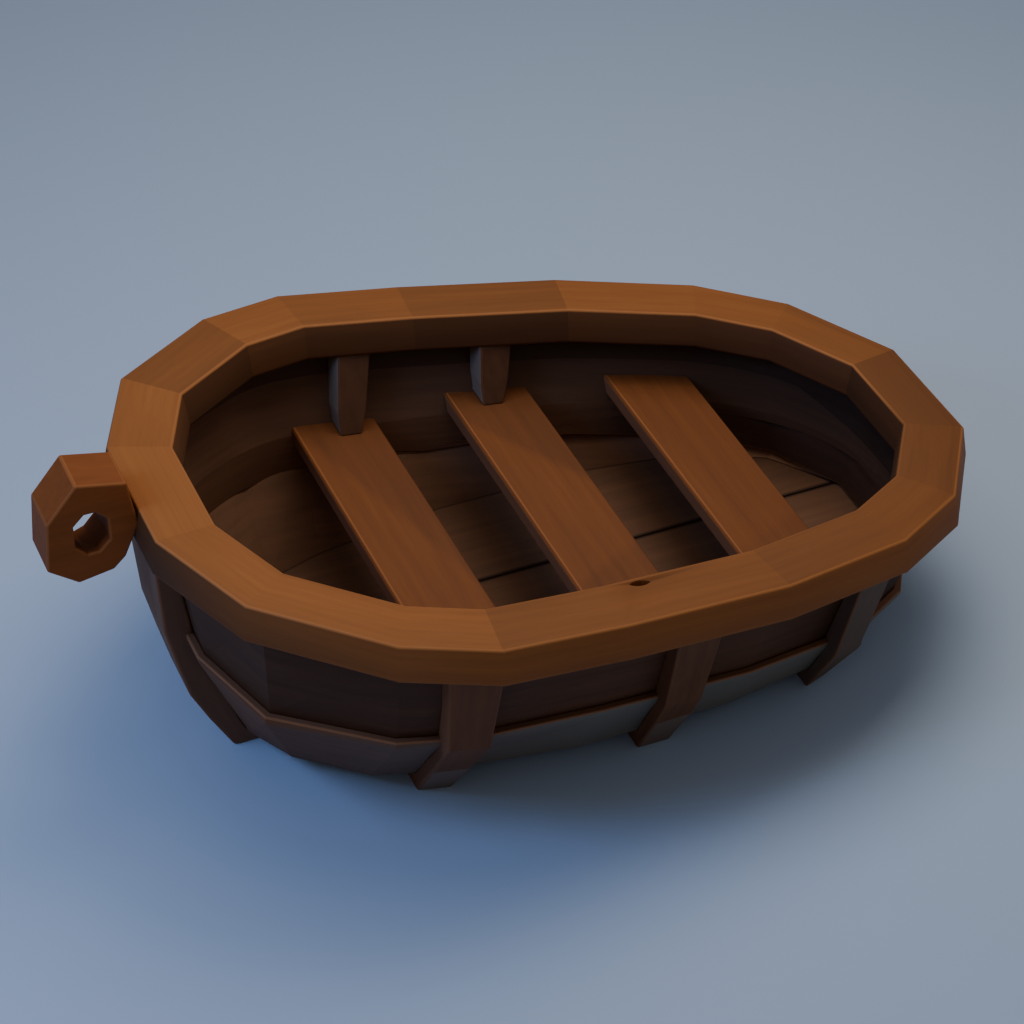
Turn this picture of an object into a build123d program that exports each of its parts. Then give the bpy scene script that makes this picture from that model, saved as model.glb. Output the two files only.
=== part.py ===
from build123d import *
import os

os.makedirs("parts", exist_ok=True)

# Rowing boat, millimetres. Bow at +X, port at +Y, floor at Z = 0.

# Hull lines of the port side from bow to stern, one row per knuckle.
# Columns: rail outer edge x, y; lap edge x, y; bilge edge x, y
HULL_LINES = (
    (1187, 210, 1104, 198, 948, 102),
    (1055, 512, 1014, 474, 874, 240),
    (746, 752, 724, 656, 704, 390),
    (500, 828, 510, 686, 540, 444),
    (142, 809, 142, 666, 142, 510),
    (-340, 758, -318, 618, -300, 516),
    (-745, 650, -702, 528, -624, 468),
    (-989, 497, -918, 390, -840, 348),
    (-1187, 203, -1062, 162, -960, 144),
)

# Sheer: the rail top is a plane that rises towards the bow
RAIL_TOP_AMIDSHIPS = 726.0
SHEER_SLOPE = 0.1513

# Rail section
RAIL_WIDTH = 168.0
RAIL_DEPTH = 108.0
RAIL_FLARE = 18.0
RAIL_CHAMFER = 8.0

# Planking
PLANK_THICKNESS = 24.0
RAIL_OVERHANG = 60.0
LAP_TOP_AMIDSHIPS = 310.0
LAP_HEIGHT = 22.0

# Bottom and keel
KEEL_DEPTH = 60.0
KEEL_WIDTH = 144.0
BOTTOM_THICKNESS = 66.0
CENTRE_PLANK_WIDTH = 338.0
PLANK_SEAM = 4.0

# Stem and sternpost outer profiles. Columns: x, z
STEM_PROFILE = ((1160, 497), (1132, 366), (1102, 239), (1050, 124), (986, 0))
STERN_PROFILE = ((-1135, 190), (-1112, 110), (-1030, 0))
POST_TOP_SETBACK = 8.0
POST_WIDTH_AT_BOW_RAIL = 250.0
STEM_HEEL_X = 870.0
STERN_HEEL_X = -880.0
SEAT_DEPTH = 10.0

# Ribs. Columns: centre x at the rail, centre x at the foot, width at the rail, width at the foot
RIBS = (
    (555, 543, 134, 92),
    (-83, -80, 134, 98),
    (-674, -614, 116, 78),
)
RIB_STAND_OFF = 46.0
RIB_KNUCKLE_Z = 190.0
RIB_FOOT_FLARE = 8.0

# Lining inside the upper planking: thin at the rail, thick at its nose, with an upright face below
LINING_THICKNESS_AT_RAIL = 6.0
LINING_NOSE_AMIDSHIPS = 390.0
LINING_NOSE_SLOPE = 0.122
LINING_FOOT_AMIDSHIPS = 303.0
LINING_FOOT_SLOPE = 0.06

# Thwarts, laid parallel to the rail. Columns: centre x, drop of the top below the rail top
THWARTS = (
    (417, 330),
    (-57, 274),
    (-550, 244),
)
THWART_WIDTH = 253.0
THWART_THICKNESS = 55.0
THWART_CHAMFER = 5.0

# Knees at both ends of the first two thwarts. Columns: centre x at the foot, centre x at the rail
KNEES = (
    (386, 338),
    (-52, -88),
)
KNEE_WIDTH_FOOT = 64.0
KNEE_WIDTH_ABOVE_FOOT = 86.0
KNEE_WIDTH_TOP = 98.0
KNEE_TAPER_HEIGHT = 60.0
KNEE_DEPTH_FOOT = 106.0
KNEE_DEPTH_TOP = 93.0

# Mooring eye at the bow: outline about its centre. Columns: x, z
EYE_OUTLINE = (
    (29, 162),
    (-103, 132),
    (-124, -8),
    (-82, -102),
    (-48, -134),
    (47, -150),
    (126, -88),
    (114, 60),
)
EYE_AHEAD_OF_RAIL = 127.0
EYE_BELOW_SHEER = 59.0
EYE_WIDTH = 145.0
EYE_CHAMFER = 7.0
EYE_HOLE_WIDTH = 90.0
EYE_HOLE_HEIGHT = 126.0
EYE_HOLE_CORNER = 30.0

# Lens-shaped pocket in the port rail
POCKET_X = 47.0
POCKET_FROM_INNER_EDGE = 26.0
POCKET_LENGTH = 62.0
POCKET_WIDTH = 22.0
POCKET_DEPTH = 24.0


def rail_plane_z(x, drop):
    return RAIL_TOP_AMIDSHIPS + SHEER_SLOPE * x - drop


def inset(line, distance):
    """Moves a port-side line inboard by a distance, square to its edges."""
    closed = [(line[0][0], -line[0][1])] + list(line) + [(line[-1][0], -line[-1][1])]
    moved = []
    for before, here, after in zip(closed, closed[1:], closed[2:]):
        normals = []
        for a, b in ((before, here), (here, after)):
            length = ((b[0] - a[0]) ** 2 + (b[1] - a[1]) ** 2) ** 0.5
            normals.append(((a[1] - b[1]) / length, (b[0] - a[0]) / length))
        (ax, ay), (bx, by) = normals
        reach = distance / (1 + ax * bx + ay * by)
        moved.append((here[0] + reach * (ax + bx), here[1] + reach * (ay + by)))
    return moved


def row_below_rail(line, drop):
    return [(x, y, rail_plane_z(x, drop)) for x, y in line]


def row_at_level(line, z):
    return [(x, y, z) for x, y in line]


def to_centreline(row):
    first, last = row[0], row[-1]
    return [(first[0], 0, first[2])] + row + [(last[0], 0, last[2])]


def blend(row_a, row_b, share):
    return [tuple(p + share * (q - p) for p, q in zip(a, b)) for a, b in zip(row_a, row_b)]


def is_flat(points):
    a, b, c, d = [Vector(*p) for p in points]
    normal = (b - a).cross(c - a)
    return abs(normal.normalized().dot(d - a)) < 1e-6


def facet(points):
    return Face(Wire.make_polygon([Vector(*p) for p in points], close=True))


def solid_between(rows):
    """Closed solid through a loop of rows, all with the same number of stations."""
    faces = []
    for upper, lower in zip(rows, rows[1:] + rows[:1]):
        if sum(p[2] for p in upper) < sum(p[2] for p in lower):
            upper, lower = lower, upper
        for i in range(len(upper) - 1):
            corners = (upper[i], upper[i + 1], lower[i + 1], lower[i])
            if is_flat(corners):
                faces.append(facet(corners))
            else:
                faces.append(facet((upper[i], upper[i + 1], lower[i])))
                faces.append(facet((upper[i + 1], lower[i + 1], lower[i])))
    faces.append(facet([row[0] for row in rows]))
    faces.append(facet([row[-1] for row in rows]))
    return Solid(Shell(faces))


def slab_between(upper, lower):
    """Closed slab, both sides of the centreline, from two port-side rows."""
    faces = []
    outlines = []
    for row in (upper, lower):
        outlines.append(row + [(x, -y, z) for x, y, z in row[-2:0:-1]])
        faces.append(facet(outlines[-1]))
    for side in (1, -1):
        high = [(x, side * y, z) for x, y, z in upper]
        low = [(x, side * y, z) for x, y, z in lower]
        for i in range(len(high) - 1):
            corners = (high[i], high[i + 1], low[i + 1], low[i])
            if is_flat(corners):
                faces.append(facet(corners))
            else:
                faces.append(facet((high[i], high[i + 1], low[i])))
                faces.append(facet((high[i + 1], low[i + 1], low[i])))
    return Solid(Shell(faces))


def largest(shape):
    return max(shape.solids(), key=lambda s: s.volume)


def fitted(blank, *neighbours):
    """Trims a blank where it would enter its neighbours."""
    for neighbour in neighbours:
        blank = largest(blank - neighbour)
    return blank


def across_at(row, x):
    """Half-breadth and height of a row at a given x."""
    for (ax, ay, az), (bx, by, bz) in zip(row, row[1:]):
        if min(ax, bx) <= x <= max(ax, bx) and ax != bx:
            share = (x - ax) / (bx - ax)
            return ay + share * (by - ay), az + share * (bz - az)


def to_starboard(shape):
    return mirror(shape, about=Plane.XZ)


pieces = {}

# Heights and lines
lap_drop = RAIL_TOP_AMIDSHIPS - LAP_TOP_AMIDSHIPS
rail_line = [(r[0], r[1]) for r in HULL_LINES]
lap_line = [(r[2], r[3]) for r in HULL_LINES]
bilge_line = [(r[4], r[5]) for r in HULL_LINES]

# Rail: mitred lengths between the knuckles
rail_section = (
    (RAIL_CHAMFER, 0),
    (RAIL_WIDTH - RAIL_CHAMFER, 0),
    (RAIL_WIDTH, RAIL_CHAMFER),
    (RAIL_WIDTH + RAIL_FLARE, RAIL_DEPTH),
    (-RAIL_FLARE, RAIL_DEPTH),
    (0, RAIL_CHAMFER),
)
rail_rows = [row_below_rail(inset(rail_line, across), drop) for across, drop in rail_section]
for i in range(len(rail_line) - 1):
    length = solid_between([[row[i], row[i + 1]] for row in rail_rows])
    pieces["rail_starboard_%d" % (i + 1)] = to_starboard(length)
    if rail_line[i][0] > POCKET_X > rail_line[i + 1][0]:
        inner_edge = row_below_rail(inset(rail_line, RAIL_WIDTH), 0)
        half_breadth, top_z = across_at(inner_edge, POCKET_X)
        radius = (POCKET_LENGTH ** 2 / 4 + POCKET_WIDTH ** 2 / 4) / POCKET_WIDTH
        spread = radius - POCKET_WIDTH / 2
        side = Cylinder(radius, 2 * POCKET_DEPTH)
        lens = Pos(0, spread, 0) * side & Pos(0, -spread, 0) * side
        length = largest(length - Pos(POCKET_X, half_breadth + POCKET_FROM_INNER_EDGE, top_z) * lens)
    pieces["rail_port_%d" % (i + 1)] = length
for name, end in (("rail_bow", 0), ("rail_stern", -1)):
    pieces[name] = solid_between([[(r[end][0], -r[end][1], r[end][2]), r[end]] for r in rail_rows])

# Upper strake
upper_top = row_below_rail(inset(rail_line, RAIL_OVERHANG), RAIL_DEPTH)
upper_lap = row_below_rail(inset(lap_line, PLANK_THICKNESS), lap_drop)
lap_share = (lap_drop + LAP_HEIGHT - RAIL_DEPTH) / (lap_drop - RAIL_DEPTH)
upper_foot_line = [(x, y) for x, y, z in blend(upper_top, upper_lap, lap_share)]
upper_foot = row_below_rail(upper_foot_line, lap_drop + LAP_HEIGHT)
upper_top_in = row_below_rail(inset(rail_line, RAIL_OVERHANG + PLANK_THICKNESS), RAIL_DEPTH)
upper_foot_in = row_below_rail(inset(upper_foot_line, PLANK_THICKNESS), lap_drop + LAP_HEIGHT)
upper_rows = [upper_top, upper_lap, upper_foot, upper_foot_in, upper_top_in]
upper_strake = solid_between([to_centreline(row) for row in upper_rows])

# Lower strake, lapped outside the upper one
lower_top = row_below_rail(lap_line, lap_drop)
lower_knuckle = row_below_rail(inset(upper_foot_line, -PLANK_THICKNESS), lap_drop + LAP_HEIGHT)
bilge = row_at_level(bilge_line, KEEL_DEPTH)
bilge_in = row_at_level(inset(bilge_line, PLANK_THICKNESS), KEEL_DEPTH)
bottom_top = []
for low, high in zip(bilge_in, upper_foot):
    share = BOTTOM_THICKNESS / (high[2] - low[2])
    bottom_top.append(tuple(p + share * (q - p) for p, q in zip(low, high)))
lower_rows = [lower_top, lower_knuckle, bilge, bilge_in, bottom_top, upper_foot, upper_lap]
lower_strake = solid_between([to_centreline(row) for row in lower_rows])
for name, strake in (("upper_strake", upper_strake), ("lower_strake", lower_strake)):
    pieces[name + "_port"] = strake
    pieces[name + "_starboard"] = to_starboard(strake)

# Bottom planks between the lower strakes
bottom = slab_between(to_centreline(bottom_top), to_centreline(bilge_in))
reach = 4 * RAIL_TOP_AMIDSHIPS
centre_band = Box(reach, CENTRE_PLANK_WIDTH, reach)
side_band = Pos(0, CENTRE_PLANK_WIDTH / 2 + PLANK_SEAM + reach / 2, 0) * Box(reach, reach, reach)
pieces["bottom_plank_centre"] = largest(bottom & centre_band)
side_plank = largest(bottom & side_band)
pieces["bottom_plank_port"] = side_plank
pieces["bottom_plank_starboard"] = to_starboard(side_plank)

# Keel with the stem and the sternpost scarfed to its ends
keel_middle = (STEM_HEEL_X + STERN_HEEL_X) / 2
keel_bar = Box(STEM_HEEL_X - STERN_HEEL_X, KEEL_WIDTH, KEEL_DEPTH)
pieces["keel"] = Pos(keel_middle, 0, KEEL_DEPTH / 2) * keel_bar


def end_post(profile, rail_end_x, heel_x):
    """Upright timber on the centreline, seated on the planking from the rail to the keel."""
    sign = 1 if rail_end_x > 0 else -1
    end = 0 if sign > 0 else -1
    front_x = rail_end_x - sign * POST_TOP_SETBACK
    seat = []
    for row in (upper_top, upper_lap, lower_top, lower_knuckle, bilge):
        x, y, z = row[end]
        seat.append((x - sign * SEAT_DEPTH, z))
    front = [(front_x, rail_plane_z(front_x, RAIL_DEPTH))] + list(profile)
    back = [(heel_x, 0), (heel_x, KEEL_DEPTH), (seat[-1][0], KEEL_DEPTH)]
    back += [seat[-2], seat[1], (seat[0][0], rail_plane_z(seat[0][0], RAIL_DEPTH))]
    outline = front + back
    bow_rail_z = rail_plane_z(rail_line[0][0], RAIL_DEPTH)
    widening = (POST_WIDTH_AT_BOW_RAIL - KEEL_WIDTH) / 2 / bow_rail_z
    port = [(x, KEEL_WIDTH / 2 + widening * z, z) for x, z in outline]
    starboard = [(x, -y, z) for x, y, z in port]
    faces = [facet(port), facet(starboard)]
    for i in range(len(outline)):
        faces.append(facet((port[i - 1], port[i], starboard[i], starboard[i - 1])))
    return Solid(Shell(faces))


strakes = [pieces[k] for k in pieces if "strake" in k]
for name, profile, rail_end_x, heel_x in (
    ("stem", STEM_PROFILE, rail_line[0][0], STEM_HEEL_X),
    ("sternpost", STERN_PROFILE, rail_line[-1][0], STERN_HEEL_X),
):
    pieces[name] = fitted(end_post(profile, rail_end_x, heel_x), *strakes)

# Ribs: bent timbers outside the planking, from the rail to the keel
for number, (x_rail, x_foot, width_rail, width_foot) in enumerate(RIBS, 1):
    sections = []
    for side in (0.5, -0.5):
        foot_x = x_foot + side * width_foot
        lean = (x_rail - x_foot + side * (width_rail - width_foot)) / rail_plane_z(x_rail, RAIL_DEPTH)
        top_z = rail_plane_z(foot_x, RAIL_DEPTH) / (1 - SHEER_SLOPE * lean)
        section = []
        top_x = foot_x + lean * top_z
        knuckle_x = foot_x + lean * RIB_KNUCKLE_Z
        skin_top = across_at(upper_top, top_x)[0]
        lap_y, lap_z = across_at(upper_lap, foot_x + lean * (top_z - lap_drop + RAIL_DEPTH))
        low_y, low_z = across_at(lower_knuckle, foot_x + lean * (top_z - lap_drop + RAIL_DEPTH))
        bilge_y = across_at(bilge, foot_x + lean * KEEL_DEPTH)[0]
        skin_knuckle = bilge_y + (low_y - bilge_y) * (RIB_KNUCKLE_Z - KEEL_DEPTH) / (low_z - KEEL_DEPTH)
        section.append((top_x, skin_top - SEAT_DEPTH, top_z))
        section.append((foot_x + lean * lap_z, lap_y - SEAT_DEPTH, lap_z))
        section.append((foot_x + lean * low_z, low_y - SEAT_DEPTH, low_z))
        section.append((foot_x + lean * KEEL_DEPTH, bilge_y - SEAT_DEPTH, KEEL_DEPTH))
        section.append((foot_x + lean * KEEL_DEPTH, KEEL_WIDTH / 2, KEEL_DEPTH))
        section.append((foot_x, KEEL_WIDTH / 2, 0))
        section.append((foot_x, bilge_y + RIB_FOOT_FLARE, 0))
        section.append((knuckle_x, skin_knuckle + RIB_STAND_OFF, RIB_KNUCKLE_Z))
        section.append((foot_x + lean * lap_z, lap_y + PLANK_THICKNESS + RIB_STAND_OFF, lap_z))
        section.append((top_x, skin_top + RIB_STAND_OFF, top_z))
        sections.append(section)
    rows = [[fore, aft] for fore, aft in zip(*sections)]
    rib = fitted(solid_between(rows), pieces["upper_strake_port"], pieces["lower_strake_port"])
    pieces["rib_port_%d" % number] = rib
    pieces["rib_starboard_%d" % number] = to_starboard(rib)

# Lining inside the planking, from the rail down to the thwarts


def wall_point(station, z):
    """Point on the inner face of the planking at a station and a height."""
    top, foot = upper_top_in[station], upper_foot_in[station]
    if z < foot[2]:
        top, foot = upper_foot[station], bottom_top[station]
    share = (top[2] - z) / (top[2] - foot[2])
    return tuple(p + share * (q - p) for p, q in zip(top, foot))


lining_inset = RAIL_OVERHANG + PLANK_THICKNESS + LINING_THICKNESS_AT_RAIL
lining_top = row_below_rail(inset(rail_line, lining_inset), RAIL_DEPTH)
lining_top_seat = row_below_rail(inset(rail_line, lining_inset - SEAT_DEPTH), RAIL_DEPTH)
lining_foot_seat, lining_foot, lining_nose = [], [], []
for station, (x, y, z) in enumerate(upper_foot_in):
    foot = wall_point(station, LINING_FOOT_AMIDSHIPS + LINING_FOOT_SLOPE * x)
    top = upper_top_in[station]
    out_x, out_y = top[0] - foot[0], top[1] - foot[1]
    reach = SEAT_DEPTH / (out_x ** 2 + out_y ** 2) ** 0.5
    lining_foot_seat.append((foot[0] + reach * out_x, foot[1] + reach * out_y, foot[2]))
    lining_foot.append(foot)
    lining_nose.append((foot[0], foot[1], LINING_NOSE_AMIDSHIPS + LINING_NOSE_SLOPE * x))
lining_rows = [lining_top, lining_top_seat, lining_foot_seat, lining_foot, lining_nose]
lining_blank = solid_between([to_centreline(row) for row in lining_rows])
lining = fitted(lining_blank, pieces["upper_strake_port"], pieces["lower_strake_port"])
pieces["lining_port"] = lining
pieces["lining_starboard"] = to_starboard(lining)
linings = strakes + [pieces["lining_port"], pieces["lining_starboard"]]

# Thwarts, cut to the planking and its lining at both ends
thwart_names = ("thwart_bow", "thwart_middle", "thwart_stern")
for name, (x_middle, drop) in zip(thwart_names, THWARTS):
    x_fore = x_middle + THWART_WIDTH / 2
    x_aft = x_middle - THWART_WIDTH / 2
    section = (
        (x_fore, THWART_THICKNESS),
        (x_fore, THWART_CHAMFER),
        (x_fore - THWART_CHAMFER, 0),
        (x_aft + THWART_CHAMFER, 0),
        (x_aft, THWART_CHAMFER),
        (x_aft, THWART_THICKNESS),
    )
    end_y = max(y for x, y in rail_line)
    rows = []
    for x, below in section:
        z = rail_plane_z(x, drop + below)
        rows.append([(x, -end_y, z), (x, end_y, z)])
    pieces[name] = fitted(solid_between(rows), *linings)

# Knees between the thwart ends and the rail


def inside_at(x, z):
    """Half-breadth to the inner face of the upper strake at a given place."""
    top_y, top_z = across_at(upper_top_in, x)
    foot_y, foot_z = across_at(upper_foot_in, x)
    return top_y + (foot_y - top_y) * (top_z - z) / (top_z - foot_z)


for number, ((x_foot, x_top), (x_thwart, drop)) in enumerate(zip(KNEES, THWARTS), 1):
    height = drop - RAIL_DEPTH
    share = KNEE_TAPER_HEIGHT / height
    steps = (
        (drop, x_foot, KNEE_WIDTH_FOOT, KNEE_DEPTH_FOOT),
        (
            drop - KNEE_TAPER_HEIGHT,
            x_foot + share * (x_top - x_foot),
            KNEE_WIDTH_ABOVE_FOOT,
            KNEE_DEPTH_FOOT + share * (KNEE_DEPTH_TOP - KNEE_DEPTH_FOOT),
        ),
        (RAIL_DEPTH, x_top, KNEE_WIDTH_TOP, KNEE_DEPTH_TOP),
    )
    corners = ([], [], [], [])
    for below, x_middle, width, depth in steps:
        wall_y = inside_at(x_middle, rail_plane_z(x_middle, below))
        x_fore, x_aft = x_middle + width / 2, x_middle - width / 2
        y_front, y_back = wall_y - depth, wall_y + PLANK_THICKNESS
        outline = ((x_fore, y_front), (x_aft, y_front), (x_aft, y_back), (x_fore, y_back))
        for corner, (x, y) in zip(corners, outline):
            corner.append((x, y, rail_plane_z(x, below)))
    knee = fitted(solid_between(list(corners)), pieces["upper_strake_port"], pieces["lining_port"])
    pieces["knee_port_%d" % number] = knee
    pieces["knee_starboard_%d" % number] = to_starboard(knee)

# Mooring eye on the bow rail
eye_x = rail_line[0][0] + EYE_AHEAD_OF_RAIL
eye_z = rail_plane_z(eye_x, EYE_BELOW_SHEER)
eye_points = [Vector(eye_x + x, -EYE_WIDTH / 2, eye_z + z) for x, z in EYE_OUTLINE]
eye = Solid.extrude(Face(Wire.make_polygon(eye_points, close=True)), Vector(0, EYE_WIDTH, 0))
eye = chamfer(eye.faces().filter_by(Axis.Y).edges(), EYE_CHAMFER)
hole_x = EYE_HOLE_WIDTH / 2
hole_z = EYE_HOLE_HEIGHT / 2
hole = []
for sx, sz in ((1, 1), (-1, 1), (-1, -1), (1, -1)):
    corner = [(sx * (hole_x - EYE_HOLE_CORNER), sz * hole_z), (sx * hole_x, sz * (hole_z - EYE_HOLE_CORNER))]
    hole += corner if sx * sz < 0 else corner[::-1]
hole_points = [Vector(eye_x + x, -EYE_WIDTH, eye_z + z) for x, z in hole]
opening = Solid.extrude(Face(Wire.make_polygon(hole_points, close=True)), Vector(0, 2 * EYE_WIDTH, 0))
pieces["mooring_eye"] = fitted(eye - opening, pieces["rail_bow"])

for name, shape in pieces.items():
    shape.label = name
    export_step(shape, "parts/%s.step" % name)
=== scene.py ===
import math
import bmesh
import bpy
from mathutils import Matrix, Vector


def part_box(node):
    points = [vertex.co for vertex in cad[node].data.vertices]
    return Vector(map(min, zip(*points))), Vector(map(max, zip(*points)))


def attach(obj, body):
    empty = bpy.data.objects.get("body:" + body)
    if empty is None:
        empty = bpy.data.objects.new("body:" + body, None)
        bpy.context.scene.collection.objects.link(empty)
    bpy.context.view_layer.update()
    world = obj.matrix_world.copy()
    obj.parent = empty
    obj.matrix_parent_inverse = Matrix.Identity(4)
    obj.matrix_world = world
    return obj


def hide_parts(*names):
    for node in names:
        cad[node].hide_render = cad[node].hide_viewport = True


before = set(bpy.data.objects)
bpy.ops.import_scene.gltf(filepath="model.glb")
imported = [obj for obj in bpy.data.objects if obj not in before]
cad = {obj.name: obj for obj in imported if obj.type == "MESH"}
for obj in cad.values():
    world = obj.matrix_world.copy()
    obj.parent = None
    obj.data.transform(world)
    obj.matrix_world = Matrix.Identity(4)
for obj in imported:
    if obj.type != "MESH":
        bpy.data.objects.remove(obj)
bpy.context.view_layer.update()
scene = bpy.context.scene

# Outer edge of the rail's top, port side, from bow to stern: x, half-breadth
RAIL_KNUCKLES = (
    (1.187, 0.210),
    (1.055, 0.512),
    (0.746, 0.752),
    (0.500, 0.828),
    (0.142, 0.809),
    (-0.340, 0.758),
    (-0.745, 0.650),
    (-0.989, 0.497),
    (-1.187, 0.203),
)
RAIL_WIDTH = 0.168
RAIL_DEPTH = 0.108
RAIL_FLARE = 0.018
RAIL_ROUND = 0.009
RAIL_ROUND_STEPS = 3
RAIL_TOP_AMIDSHIPS = 0.726
SHEER_SLOPE = 0.1513

# Lens-shaped pocket in the port rail
POCKET_X = 0.047
POCKET_Y = 0.6562
POCKET_LENGTH = 0.062
POCKET_WIDTH = 0.022
POCKET_DEPTH = 0.024
POCKET_BAR_SIDES = 96

# Bottom planks: their top and the seam beside the centre plank
BOTTOM_TOP = 0.126
PLANK_SEAM_Y = 0.171

# A face looks one way when its normal has at least this share that way
FACING = 0.7
# A face is upright when its normal rises or falls less than this
UPRIGHT = 0.12


def make_object(name, data):
    made = bpy.data.objects.new(name, data)
    scene.collection.objects.link(made)
    return made


def hold(value, least, most):
    return min(max(value, least), most)


def fade(x, amidships, per_metre, least, most):
    """A value that changes along the boat, held within its limits."""
    return hold(amidships + per_metre * x, least, most)


def sheer_height(x):
    return RAIL_TOP_AMIDSHIPS + SHEER_SLOPE * x


def link(tree, source, target):
    tree.links.new(source, target)


def node(tree, kind, **settings):
    made = tree.nodes.new(kind)
    for key, value in settings.items():
        setattr(made, key, value)
    return made


def sum_node(tree, operation, *values):
    """A Math node whose inputs are numbers or sockets."""
    made = node(tree, "ShaderNodeMath", operation=operation)
    for socket, value in zip(made.inputs, values):
        if isinstance(value, (int, float)):
            socket.default_value = value
        else:
            link(tree, value, socket)
    return made.outputs[0]


def vector_node(tree, operation, first, second):
    made = node(tree, "ShaderNodeVectorMath", operation=operation)
    link(tree, first, made.inputs[0])
    link(tree, second, made.inputs[1])
    return made


# Finishes
# Noise that follows the grain: scale along it, scale across it, detail
STREAKS = (1.7, 34.0, 5.0)
PORES = (16.0, 420.0, 2.0)
DRIFT = (1.3, 3.2, 1.0)
NOISE_ROUGHNESS = 0.6
DARK_STREAKS_AT = 0.30
LIGHT_STREAKS_AT = 0.72
# Range and least value of the tone's drift, and of the rubbing and painted highlight on a worn edge
DRIFT_RANGE = 0.30
DRIFT_LEAST = 0.85
RUB_AND_HIGHLIGHT_RANGE = 0.5
RUB_AND_HIGHLIGHT_LEAST = 0.62
GLOSS_RANGE = 0.10
PORE_HEIGHT = 0.35
BUMP_STRENGTH = 0.35
# Grey that stands in for cool light reflected onto shaded faces: a painted reflection
PAINTED_REFLECTION_GREY = (0.130, 0.125, 0.105)


def stained_timber(name, dark, light, worn_and_highlit, roughness, shine, bump_mm):
    """Stained timber with streaks, pores, a slow drift of tone, painted shade from the tone mark, a grey
    painted reflection and paler worn edges that also carry a painted highlight.
    """
    material = bpy.data.materials.new(name)
    material.use_nodes = True
    tree = material.node_tree
    shader = tree.nodes["Principled BSDF"]
    shader.inputs["Specular IOR Level"].default_value = shine
    grain = node(tree, "ShaderNodeAttribute", attribute_name="grain")
    tone = node(tree, "ShaderNodeAttribute", attribute_name="tone")
    edge = node(tree, "ShaderNodeAttribute", attribute_name="worn_and_highlit")
    grey = node(tree, "ShaderNodeAttribute", attribute_name="painted_reflection")

    def grain_noise(along, across, detail):
        mapping = node(tree, "ShaderNodeMapping")
        mapping.inputs["Scale"].default_value = (along, across, across)
        link(tree, grain.outputs["Vector"], mapping.inputs["Vector"])
        noise = node(tree, "ShaderNodeTexNoise")
        noise.inputs["Scale"].default_value = 1.0
        noise.inputs["Detail"].default_value = detail
        noise.inputs["Roughness"].default_value = NOISE_ROUGHNESS
        link(tree, mapping.outputs["Vector"], noise.inputs["Vector"])
        return noise.outputs["Fac"]

    streaks = grain_noise(*STREAKS)
    pores = grain_noise(*PORES)
    drift = grain_noise(*DRIFT)

    ramp = node(tree, "ShaderNodeValToRGB")
    ramp.color_ramp.elements[0].position = DARK_STREAKS_AT
    ramp.color_ramp.elements[0].color = (*dark, 1.0)
    ramp.color_ramp.elements[1].position = LIGHT_STREAKS_AT
    ramp.color_ramp.elements[1].color = (*light, 1.0)
    link(tree, streaks, ramp.inputs["Fac"])
    reflection_mixed = node(tree, "ShaderNodeMix", data_type="RGBA")
    reflection_mixed.inputs["B"].default_value = (*PAINTED_REFLECTION_GREY, 1.0)
    link(tree, grey.outputs["Fac"], reflection_mixed.inputs["Factor"])
    link(tree, ramp.outputs["Color"], reflection_mixed.inputs["A"])

    drifted = sum_node(tree, "MULTIPLY_ADD", drift, DRIFT_RANGE, DRIFT_LEAST)
    shade = sum_node(tree, "MULTIPLY", drifted, tone.outputs["Fac"])
    toned = node(tree, "ShaderNodeMix", data_type="RGBA", blend_type="MULTIPLY")
    toned.inputs["Factor"].default_value = 1.0
    link(tree, reflection_mixed.outputs["Result"], toned.inputs["A"])
    link(tree, shade, toned.inputs["B"])

    # Paler worn edges, partly a painted highlight, patchy by the pores
    patchy = sum_node(tree, "MULTIPLY_ADD", pores, RUB_AND_HIGHLIGHT_RANGE, RUB_AND_HIGHLIGHT_LEAST)
    rubbed_and_highlit = sum_node(tree, "MULTIPLY", patchy, edge.outputs["Fac"])
    finish = node(tree, "ShaderNodeMix", data_type="RGBA")
    finish.inputs["B"].default_value = (*worn_and_highlit, 1.0)
    link(tree, rubbed_and_highlit, finish.inputs["Factor"])
    link(tree, toned.outputs["Result"], finish.inputs["A"])
    link(tree, finish.outputs["Result"], shader.inputs["Base Color"])

    gloss = node(tree, "ShaderNodeMapRange")
    gloss.inputs["To Min"].default_value = roughness - GLOSS_RANGE
    gloss.inputs["To Max"].default_value = roughness + GLOSS_RANGE
    link(tree, pores, gloss.inputs["Value"])
    link(tree, gloss.outputs["Result"], shader.inputs["Roughness"])

    height = sum_node(tree, "MULTIPLY_ADD", pores, PORE_HEIGHT, streaks)
    bump = node(tree, "ShaderNodeBump")
    bump.inputs["Strength"].default_value = BUMP_STRENGTH
    bump.inputs["Distance"].default_value = bump_mm / 1000.0
    link(tree, height, bump.inputs["Height"])
    link(tree, bump.outputs["Normal"], shader.inputs["Normal"])
    return material


# Columns: finish, dark and light of the streaks, worn edge with its painted highlight, roughness, shine,
# bump in millimetres
TIMBERS = (
    ("rail_wood", (0.205, 0.064, 0.011), (0.262, 0.084, 0.015), (0.36, 0.128, 0.032), 0.72, 0.28, 0.5),
    ("thwart_wood", (0.145, 0.040, 0.006), (0.192, 0.055, 0.009), (0.29, 0.095, 0.022), 0.72, 0.30, 0.5),
    ("planking_wood", (0.085, 0.033, 0.013), (0.125, 0.049, 0.019), (0.270, 0.112, 0.046), 0.72, 0.26, 0.8),
    ("frame_wood", (0.090, 0.033, 0.012), (0.130, 0.049, 0.018), (0.160, 0.062, 0.025), 0.72, 0.26, 0.8),
    ("eye_wood", (0.165, 0.043, 0.006), (0.212, 0.056, 0.009), (0.29, 0.096, 0.024), 0.70, 0.20, 0.5),
)
FINISHES = {timber[0]: stained_timber(*timber) for timber in TIMBERS}


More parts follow.
